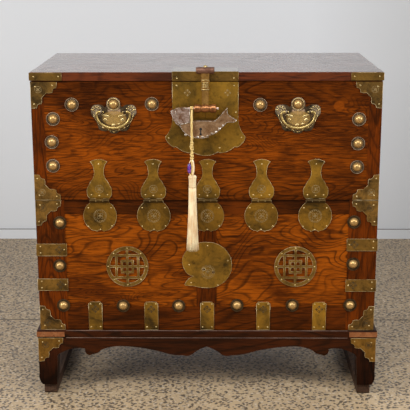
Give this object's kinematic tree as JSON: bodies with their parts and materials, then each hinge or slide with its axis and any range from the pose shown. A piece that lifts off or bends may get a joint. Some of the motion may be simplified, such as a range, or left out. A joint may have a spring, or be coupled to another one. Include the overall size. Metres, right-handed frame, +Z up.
{
  "type": "drop-front chest",
  "caption": "Wooden chest whose upper front half folds down on strap hinges, with a hasp, a sliding fish padlock and tassel, two drop handles and brass fittings on a footed stand.",
  "frame": {"origin": "floor level, under the middle of the box around everything but the tassel and its cord", "axes": "+X to the right as seen from the front, +Y from the front to the back, +Z up"},
  "size_m": [0.9194, 0.5192, 0.8972],
  "materials": {
    "figured_wood": "oiled burl veneer",
    "dark_wood": "dark oiled straight grain",
    "plain_wood": "plain unfinished board",
    "stand_wood": "dark oiled hardwood",
    "aged_brass": "tarnished olive brass",
    "bright_brass": "rubbed brass",
    "copper": "worn copper-red alloy",
    "silk": "silk cord and thread",
    "bead_glass": "glazed bead"
  },
  "bodies": {
    "chest": {"top_board": "figured_wood", "side_board_left": "figured_wood", "side_board_right": "figured_wood", "back_board": "plain_wood", "bottom_board": "plain_wood", "stile_left": "dark_wood", "stile_right": "dark_wood", "stile_centre": "dark_wood", "rail_top": "dark_wood", "rail_bottom": "dark_wood", "panel_left": "figured_wood", "panel_right": "figured_wood", "moulding_front": "stand_wood", "moulding_left": "stand_wood", "moulding_right": "stand_wood", "moulding_back": "stand_wood", "leg_front_left": "stand_wood", "leg_front_right": "stand_wood", "leg_back_left": "stand_wood", "leg_back_right": "stand_wood", "apron_front": "stand_wood", "apron_left": "stand_wood", "apron_right": "stand_wood", "back_rail": "stand_wood", "runner_left": "stand_wood", "runner_right": "stand_wood", "front_corner_plates": "aged_brass", "leg_plates": "bright_brass", "top_corner_straps": "aged_brass", "side_straps": "aged_brass", "foot_straps": "aged_brass", "moulding_caps": "copper", "top_lock_strap": "aged_brass", "hasp_hinge": "copper", "hinge_lower_leaves": "aged_brass", "hinge_pins": "copper", "front_stud_washers": "aged_brass", "front_studs": "bright_brass", "medallions": "aged_brass", "centre_plate": "aged_brass"},
    "flap": {"flap_panel": "figured_wood", "flap_end_left": "dark_wood", "flap_end_right": "dark_wood", "flap_corner_plates": "aged_brass", "lock_plate": "aged_brass", "lock_staples": "copper", "hinge_upper_leaves": "aged_brass", "flap_stud_washers": "aged_brass", "flap_studs": "bright_brass", "handle_plate_left": "aged_brass", "handle_plate_right": "aged_brass"},
    "hasp": {"hasp": "bright_brass"},
    "padlock": {"padlock_case": "aged_brass"},
    "shackle": {"padlock_shackle": "aged_brass", "tassel_tie": "silk", "tassel_cord": "silk", "tassel_bead": "bead_glass", "tassel": "silk"},
    "handle_left": {"bail_left": "bright_brass"},
    "handle_right": {"bail_right": "bright_brass"}
  },
  "joints": [
    {"name": "flap_hinge", "type": "hinge", "parent": "chest", "child": "flap", "pos_m": [0.0025, -0.22225, 0.548], "axis": [1, 0, 0], "range_deg": [0, 95]},
    {"name": "padlock_swing", "type": "hinge", "parent": "flap", "child": "padlock", "pos_m": [-0.0025, -0.24025, 0.794], "axis": [1, 0, 0], "range_deg": [-95, 0]},
    {"name": "shackle_slide", "type": "slide", "parent": "padlock", "child": "shackle", "axis": [-1, 0, 0], "range_m": [0, 0.062]},
    {"name": "hasp_swing", "type": "hinge", "parent": "flap", "child": "hasp", "pos_m": [-0.0025, -0.24025, 0.794], "axis": [1, 0, 0], "range_deg": [0, 55]},
    {"name": "handle_left_swing", "type": "hinge", "parent": "flap", "child": "handle_left", "pos_m": [-0.238, -0.22825, 0.783], "axis": [-1, 0, 0], "range_deg": [0, 165]},
    {"name": "handle_right_swing", "type": "hinge", "parent": "flap", "child": "handle_right", "pos_m": [0.23472, -0.22825, 0.783], "axis": [-1, 0, 0], "range_deg": [0, 165]}
  ],
  "couplings": [
    {"joint": "padlock_swing", "follows": "flap_hinge", "ratio": -1}
  ]
}
